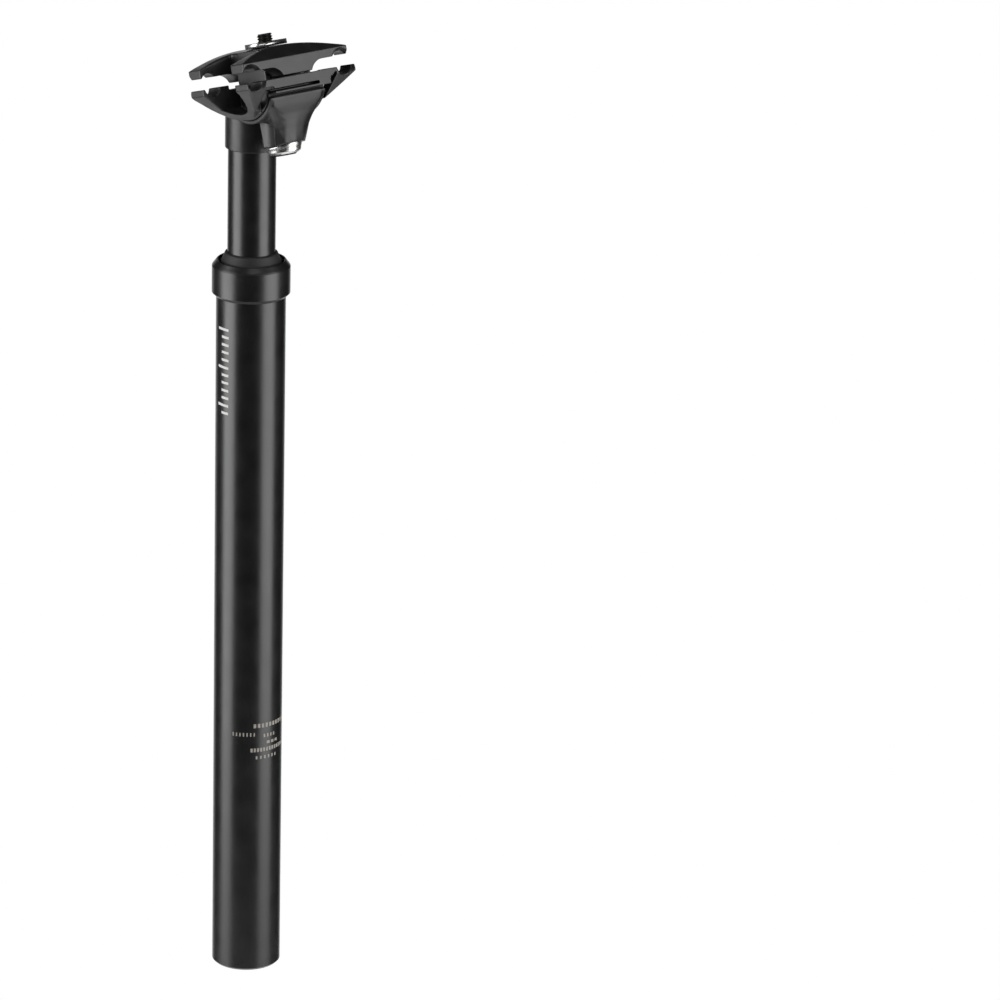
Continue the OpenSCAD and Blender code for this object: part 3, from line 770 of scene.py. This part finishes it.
def printed_marks():
    """A plain depth scale on the left flank, and rows of small plain dashes near the foot."""
    facing = math.degrees(math.atan2(CAMERA_AT.y, CAMERA_AT.x))
    ticks = []
    for i in range(TICKS):
        start = SHORT_START if i % LONG_EVERY else LONG_START
        z = FIRST_TICK - TICK_STEP * i
        ticks.append((facing + start, facing + TICK_END, z - TICK_TALL / 2, z + TICK_TALL / 2))
    printed("depth_scale", ticks, WHITE_INK)
    dashes = []
    for start, stop, z, tall, wide, step in DASH_ROWS:
        for i in range(int((stop - start) / step)):
            at = facing + start + i * step
            dashes.append((at, at + wide, z - tall / 2, z + tall / 2))
    printed("foot_dashes", dashes, SAND_INK)


for node, finish in FINISHES.items():
    paint(NODES[node], finish)
head = forged("head", "shaft", HEAD_ROUNDS, Matrix.Identity(4), boss_weight)
washer_room(head.data)
forged("lower_cradle", "cradle", CLAMP_ROUNDS, CLAMP, cutter=flares(LOWER_ENDS, 0))
forged("upper_clamp", "clamp", CLAMP_ROUNDS, CLAMP, crown_weight, flares(UPPER_ENDS, JAW_OPEN))
bevelled("nut_plate", "clamp", PLATE_EDGE, segments=3, limit=35)
bevelled("dished_washer", "cradle", WASHER_EDGE, segments=2, limit=18)
clamp_bolt()
elastomer_core(coil_spring())
printed_marks()


# Camera, floor and light


def camera():
    """The camera, whose axes are its right, its up and its back."""
    data = bpy.data.cameras.new("camera")
    data.sensor_width = SENSOR_MM
    data.lens = FOCAL_MM
    data.clip_start = CLIP_NEAR
    data.clip_end = CLIP_FAR
    obj = placed("camera", data)
    back = CAMERA_RIGHT.cross(CAMERA_UP)
    turn = Matrix((CAMERA_RIGHT, CAMERA_UP, back)).transposed()
    obj.matrix_world = Matrix.Translation(CAMERA_AT) @ turn.to_4x4()
    bpy.context.scene.camera = obj


def softbox(name, azimuth, height, distance, width, tall, power):
    """A soft rectangular lamp at an angle from the camera's direction."""
    data = bpy.data.lights.new(name, "AREA")
    data.shape = "RECTANGLE"
    data.size = width
    data.size_y = tall
    data.energy = power
    a = math.radians(azimuth)
    way = TOWARDS * math.cos(a) - LEFTWARDS * math.sin(a)
    obj = placed(name, data)
    obj.location = way * distance + Vector((0, 0, height))
    obj.rotation_mode = "QUATERNION"
    obj.rotation_quaternion = (LAMPS_AIM - obj.location).to_track_quat("-Z", "Y")


def math_node(tree, operation, a, b):
    """The result of an operation on two values."""
    node = tree.nodes.new("ShaderNodeMath")
    node.operation = operation
    tree.links.new(a, node.inputs[0])
    tree.links.new(b, node.inputs[1])
    return node.outputs[0]


def ray_kinds(tree):
    """Two values: 1 for the camera's own rays, and 1 for rays in gloss or glass."""
    rays = tree.nodes.new("ShaderNodeLightPath").outputs
    mirrored = math_node(tree, "MAXIMUM", rays["Is Glossy Ray"], rays["Is Transmission Ray"])
    return rays["Is Camera Ray"], mirrored


def background(tree, colour):
    """A background of one colour at strength 1."""
    node = tree.nodes.new("ShaderNodeBackground")
    node.inputs["Color"].default_value = (*colour, 1)
    return node.outputs[0]


def world():
    """A dark room that is white where the camera looks straight at it.

    Gloss and glass show a white backdrop in it, behind the post.
    """
    studio = bpy.data.worlds.new("studio")
    bpy.context.scene.world = studio
    studio.use_nodes = True
    tree = studio.node_tree
    tree.nodes.clear()
    coords = tree.nodes.new("ShaderNodeTexCoord")
    middle = Matrix.Rotation(math.radians(BACKDROP_TURN), 3, "Z") @ CAMERA_UP.cross(CAMERA_RIGHT)
    facing = tree.nodes.new("ShaderNodeVectorMath")
    facing.operation = "DOT_PRODUCT"
    facing.inputs[1].default_value = middle
    tree.links.new(coords.outputs["Generated"], facing.inputs[0])
    backdrop = tree.nodes.new("ShaderNodeMapRange")
    backdrop.inputs["From Min"].default_value = math.cos(math.radians(BACKDROP_EDGE))
    backdrop.inputs["From Max"].default_value = math.cos(math.radians(BACKDROP_FULL))
    tree.links.new(facing.outputs["Value"], backdrop.inputs["Value"])
    direct, mirrored = ray_kinds(tree)
    mirrored = math_node(tree, "MULTIPLY", mirrored, backdrop.outputs["Result"])
    mix = tree.nodes.new("ShaderNodeMixShader")
    tree.links.new(math_node(tree, "MAXIMUM", direct, mirrored), mix.inputs["Fac"])
    tree.links.new(background(tree, ROOM_COLOUR), mix.inputs[1])
    tree.links.new(background(tree, (1, 1, 1)), mix.inputs[2])
    out = tree.nodes.new("ShaderNodeOutputWorld")
    tree.links.new(mix.outputs[0], out.inputs["Surface"])


def floor():
    """Plain white round floor, well below the post, which keeps its shadow."""
    mesh = bmesh.new()
    bmesh.ops.create_circle(mesh, cap_ends=True, segments=FLOOR_SIDES, radius=FLOOR_R)
    mesh.transform(Matrix.Translation((0, 0, FLOOR_Z)))
    obj = placed("floor", mesh_data("floor", mesh))
    mat, tree, bsdf, _ = shader("floor_white", (0.8, 0.8, 0.8), 0.8)
    glow = tree.nodes.new("ShaderNodeMapRange")
    glow.inputs["To Max"].default_value = FLOOR_GLOW
    tree.links.new(math_node(tree, "MAXIMUM", *ray_kinds(tree)), glow.inputs["Value"])
    bsdf.inputs["Emission Color"].default_value = (1, 1, 1, 1)
    tree.links.new(glow.outputs["Result"], bsdf.inputs["Emission Strength"])
    paint(obj, mat)


bpy.context.scene.view_settings.view_transform = "Standard"
camera()
floor()
world()
for lamp in LAMPS:
    softbox(*lamp)
